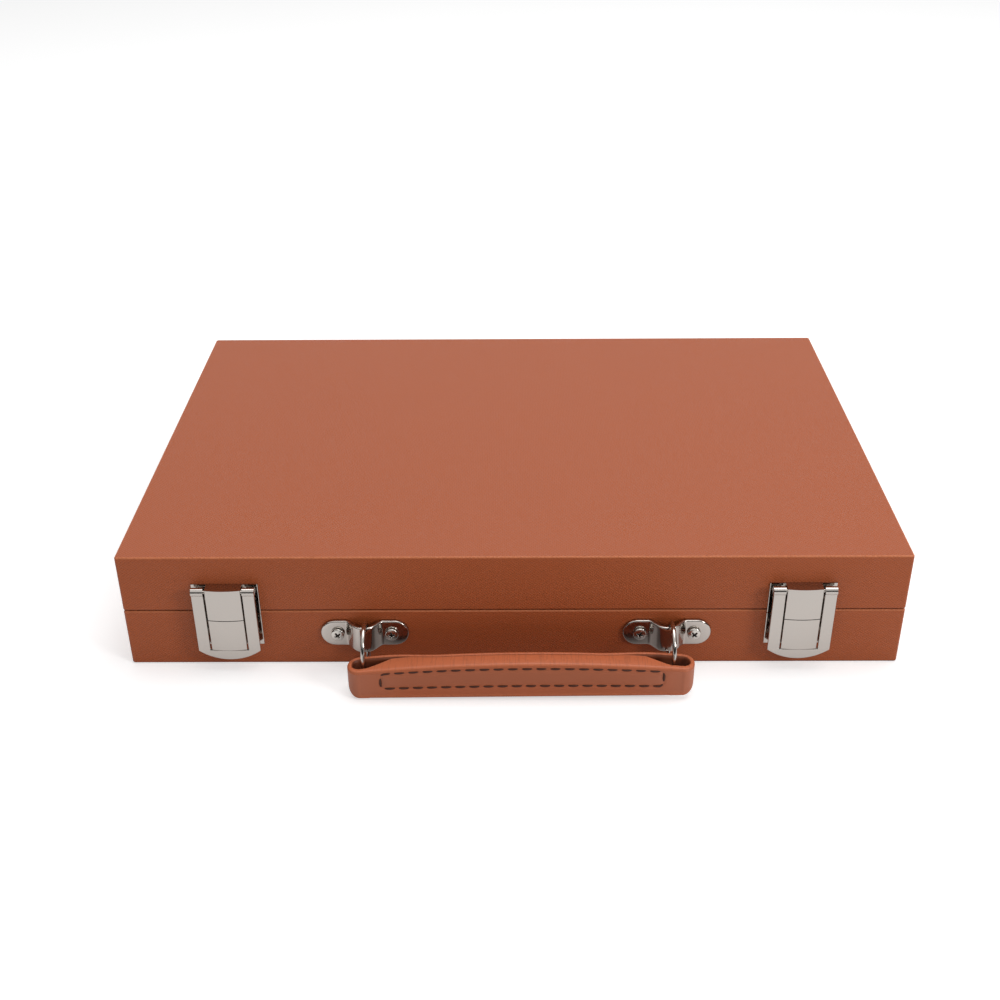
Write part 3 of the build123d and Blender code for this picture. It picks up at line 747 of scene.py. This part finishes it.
thread = Finish("brown_thread", (0.065, 0.019, 0.009), 0.7)
ply = thread.noise(3200, 2.0)
thread.feed(Base_Color=thread.mix(ply, thread.tint(0.6), thread.tint(1.8))).relief(ply, 0.08 * mm)
points, faces = stitches(pitch=6.7 * mm, length=5.0 * mm, radius=0.55 * mm)
mesh_piece("handle_stitches", points, faces, thread, "handle", "handle_leather")


# Checkers, cups, dice and doubling cube
# The playing pieces lie in the base tray: cast resin checkers on edge, two leather cups lined
# with suede that hold the dice, and the doubling cube at the end.
def resin(name, colour, veins):
    """Polished cast resin with soft clouds; the turned rings on the checkers' faces are added
    below.
    """
    cast = Finish(name, colour, 0.18, Coat_Weight=0.5, Coat_Roughness=0.06)
    cloud = cast.noise(130, 5.0)
    return cast.feed(Base_Color=cast.mix(cloud ** 2, cast.tint(1.0), veins))


dark_resin = resin("dark_resin", (0.045, 0.018, 0.012), (0.13, 0.05, 0.03))
light_resin = resin("ivory_resin", (0.70, 0.60, 0.42), (0.52, 0.40, 0.24))
outer_ring, inner_ring = 9.0 * mm, 4.0 * mm
for cast in (dark_resin, light_resin):
    _, cy, cz = cast.split(cast.place())
    off_y = cy - middle("checkers_dark").y
    off_z = cz - middle("checkers_dark").z
    radius = (off_y * off_y + off_z * off_z) ** 0.5
    ring = (abs(radius - outer_ring) < 0.35 * mm) + (abs(radius - inner_ring) < 0.25 * mm)
    cast.relief(1 - ring, 0.25 * mm)
dark_resin.wear("checkers_dark", "dice_dark")
light_resin.wear("checkers_light", "dice_light", "doubling_cube")

# Places of the pips on a side, and which of them each value has; opposite sides add to seven.
pip_pitch = 3.1 * mm
spot_grid = np.array([(0, 0), (1, 1), (1, 0), (1, -1), (0, -1), (-1, -1), (-1, 0), (-1, 1)])
pip_spots = {
    1: [0],
    2: [1, 5],
    3: [1, 0, 5],
    4: [1, 3, 5, 7],
    5: [1, 3, 0, 5, 7],
    6: [1, 2, 3, 5, 6, 7],
}
sides = ((0, 1, 3), (0, -1, 4), (1, 1, 2), (1, -1, 5), (2, 1, 6), (2, -1, 1))


def lens(radius, rise, around=16):
    """A low round cap: rings at three radii, higher by the rise towards its middle."""
    turn = np.arange(around) * 2 * np.pi / around
    r = np.array([1.0, 0.75, 0.4])[:, None] * radius
    h = rise * (1 - (r / radius) ** 2) + 0 * turn
    rim = np.stack([r * np.cos(turn), r * np.sin(turn), h], -1).reshape(-1, 3)
    faces = grid_faces(3, around)
    top = len(rim)
    faces += [[2 * around + i, 2 * around + (i + 1) % around, top] for i in range(around)]
    faces.append(list(range(around))[::-1])
    return np.vstack([rim, [[0, 0, rise]]]), faces


def die_pips(low, size, count):
    """The pips of like dice in a row along x: caps set on the six sides of each."""
    points, faces = lens(0.95 * mm, 0.06 * mm)
    all_points, all_faces = [], []
    for number in range(count):
        centre = low + np.array([number * (size + 0.1 * mm), 0, 0]) + size / 2
        for axis, sign, value in sides:
            across = [(axis + 1) % 3, (axis + 2) % 3]
            for u, v in spot_grid[pip_spots[value]] * pip_pitch:
                place = np.zeros((len(points), 3))
                place[:, axis] = sign * (size / 2 + points[:, 2])
                place[:, across[0]] = u + points[:, 0]
                place[:, across[1]] = v + sign * points[:, 1]
                all_faces += [[i + len(points) * len(all_points) for i in face] for face in faces]
                all_points.append(place + centre)
    return np.vstack(all_points), all_faces


pip_white = Finish("pip_ivory", (0.78, 0.70, 0.54), 0.35)
pip_dark = Finish("pip_brown", (0.035, 0.016, 0.011), 0.35)
pip_inks = (("dice_dark", pip_white, "checker_light"), ("dice_light", pip_dark, "checker_dark"))
for name, ink, slot in pip_inks:
    speckle = ink.noise(1800, 2.0)
    ink.feed(Base_Color=ink.mix(speckle, ink.tint(0.9), ink.tint(1.1)))
    low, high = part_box(name)
    points, faces = die_pips(np.array(low), high.z - low.z, 2)
    mesh_piece(f"{name}_pips", points, faces, ink, "base", slot)


def cube_number(text, axis, sign, centre, size):
    """A plain number standing flat on one side of the doubling cube."""
    curve = bpy.data.curves.new(f"cube_number_{text}", "FONT")
    curve.body = text
    curve.align_x = curve.align_y = "CENTER"
    curve.size = size * 0.55
    curve.extrude = 0.03 * mm
    outward = Vector([sign * (n == axis) for n in range(3)])
    up = Vector((0, 1, 0)) if axis == 2 else Vector((0, 0, 1))
    right = up.cross(outward)
    turn = Matrix((right, up, outward)).transposed().to_4x4()
    place = Matrix.Translation(centre + outward * (size / 2 + 0.02 * mm)) @ turn
    holder = bpy.data.objects.new("number_outline", curve)
    mesh = bpy.data.meshes.new_from_object(holder)
    bpy.data.objects.remove(holder)
    mesh.transform(place)
    points = np.array([v.co for v in mesh.vertices])
    faces = [list(face.vertices) for face in mesh.polygons]
    bpy.data.meshes.remove(mesh)
    mesh_piece(f"cube_number_{text}", points, faces, pip_dark, "base", "checker_dark", smooth=False)


low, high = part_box("doubling_cube")
for text, (axis, sign, _) in zip(("2", "4", "8", "16", "32", "64"), sides):
    cube_number(text, axis, sign, middle("doubling_cube"), high.z - low.z)

cup_leather = Finish("cup_leather", (0.24, 0.070, 0.030), 0.42)
cup_grain = cup_leather.node("TexVoronoi", sockets={"Vector": cup_leather.place(), "Scale": 900.0})
cup_shade = cup_leather.mix(cup_grain, cup_leather.tint(1.1), cup_leather.tint(0.75))
cup_leather.feed(Base_Color=cup_shade)
cup_leather.relief(1 - cup_grain, 0.08 * mm).wear("dice_cup_left", "dice_cup_right")
cup_felt = Finish("cup_suede", (0.12, 0.045, 0.022), 0.95, Sheen_Weight=0.3)
cup_felt.relief(cup_felt.noise(1800, 3.0), 0.12 * mm)
cup_felt.wear("dice_cup_left_lining", "dice_cup_right_lining")


# Studio
# A white floor that fades into a white surround, a broad soft light above and a smaller
# one from the front right, and the camera where the photograph was taken.
floor_size = 8.0
floor_mesh = bpy.data.meshes.new("floor")
edge = floor_size / 2
floor_mesh.from_pydata(
    [(-edge, -edge, 0), (edge, -edge, 0), (edge, edge, 0), (-edge, edge, 0)], [], [(0, 1, 2, 3)]
)
floor = bpy.data.objects.new("floor", floor_mesh)
bpy.context.scene.collection.objects.link(floor)

paper = Finish("white_paper", (0.80, 0.80, 0.80), 0.9, Specular_IOR_Level=0.0)
paper.wear(floor)
seen = paper.node("LightPath", out=0)
gloss = paper.node("LightPath", out=3)
through = paper.node("LightPath", out=6)
glow = seen.larger(through) * 0.50

# Reflections show the floor in front of the handle darker, as in the photograph.
dark_half_width, side_fade = 0.10, 0.05
dark_start, front_fade = -0.12, 0.02
paper_x, paper_y, _ = paper.split(paper.place())
across = ((dark_half_width - abs(paper_x)) / side_fade).clamped()
before_handle = across * ((dark_start - paper_y) / front_fade).clamped() * gloss
paper.feed(
    Base_Color=paper.mix(before_handle, paper.colour, (0.16, 0.14, 0.13)),
    Emission_Color=paper.mix(before_handle, (1.0, 1.0, 1.0), (0.1, 0.1, 0.1)),
    Emission_Strength=glow.larger(gloss * 0.30),
)

world = bpy.data.worlds.new("surround")
bpy.context.scene.world = world
world.use_nodes = True
tree = world.node_tree
path = tree.nodes.new("ShaderNodeLightPath")
background = tree.nodes["Background"]
strength = Value(path.outputs["Is Camera Ray"]).larger(Value(path.outputs["Is Transmission Ray"]))
gloss_level, dark_level, room_level = 0.95, 0.05, 0.34
toward = tree.nodes.new("ShaderNodeSeparateXYZ")
tree.links.new(tree.nodes.new("ShaderNodeTexCoord").outputs["Generated"], toward.inputs["Vector"])
upwards, backwards = Value(toward.outputs["Z"]), Value(toward.outputs["Y"])
panel_share = ((upwards - 0.45) * 5.0).clamped().larger(((backwards - 0.1) * 3.0).clamped())
gloss_share = dark_level + (gloss_level - dark_level) * panel_share
glossy = Value(path.outputs["Is Glossy Ray"])
strength = strength.larger(glossy * gloss_share).larger((1 - glossy) * room_level)
tree.links.new(strength.socket, background.inputs["Strength"])
background.inputs["Color"].default_value = (1.0, 1.0, 1.0, 1.0)


def soft_light(name, place, size, power, aim=(0.0, 0.0, 0.03)):
    """A square area light that looks at the case."""
    lamp = bpy.data.lights.new(name, "AREA")
    lamp.size = size
    lamp.energy = power
    holder = bpy.data.objects.new(name, lamp)
    bpy.context.scene.collection.objects.link(holder)
    holder.location = place
    holder.rotation_euler = (Vector(aim) - Vector(place)).to_track_quat("-Z", "Y").to_euler()


soft_light("overhead", (0.30, 0.30, 1.9), 1.6, 22)
soft_light("front_right", (1.25, -0.95, 0.85), 0.4, 7.5)

focal_px, picture_px, sensor = 1315.6, 1000, 36.0
elevation, azimuth, roll = math.radians(30.54), math.radians(0.57), math.radians(-0.47)
camera_place = Vector((-0.9, -651.3, 402.2)) * mm
flat = math.cos(elevation)
away = Vector((math.sin(azimuth) * flat, -math.cos(azimuth) * flat, math.sin(elevation)))
level = Vector((0, 0, 1)).cross(away).normalized()
upward = away.cross(level)
right = math.cos(roll) * level + math.sin(roll) * upward
upward = -math.sin(roll) * level + math.cos(roll) * upward
camera = bpy.data.objects.new("camera", bpy.data.cameras.new("camera"))
bpy.context.scene.collection.objects.link(camera)
camera.data.sensor_width = sensor
camera.data.lens = focal_px * sensor / picture_px
camera.data.clip_start = 0.01
camera.matrix_world = Matrix(
    (
        (right.x, upward.x, away.x, camera_place.x),
        (right.y, upward.y, away.y, camera_place.y),
        (right.z, upward.z, away.z, camera_place.z),
        (0, 0, 0, 1),
    )
)
bpy.context.scene.camera = camera
bpy.context.scene.view_settings.view_transform = "Standard"
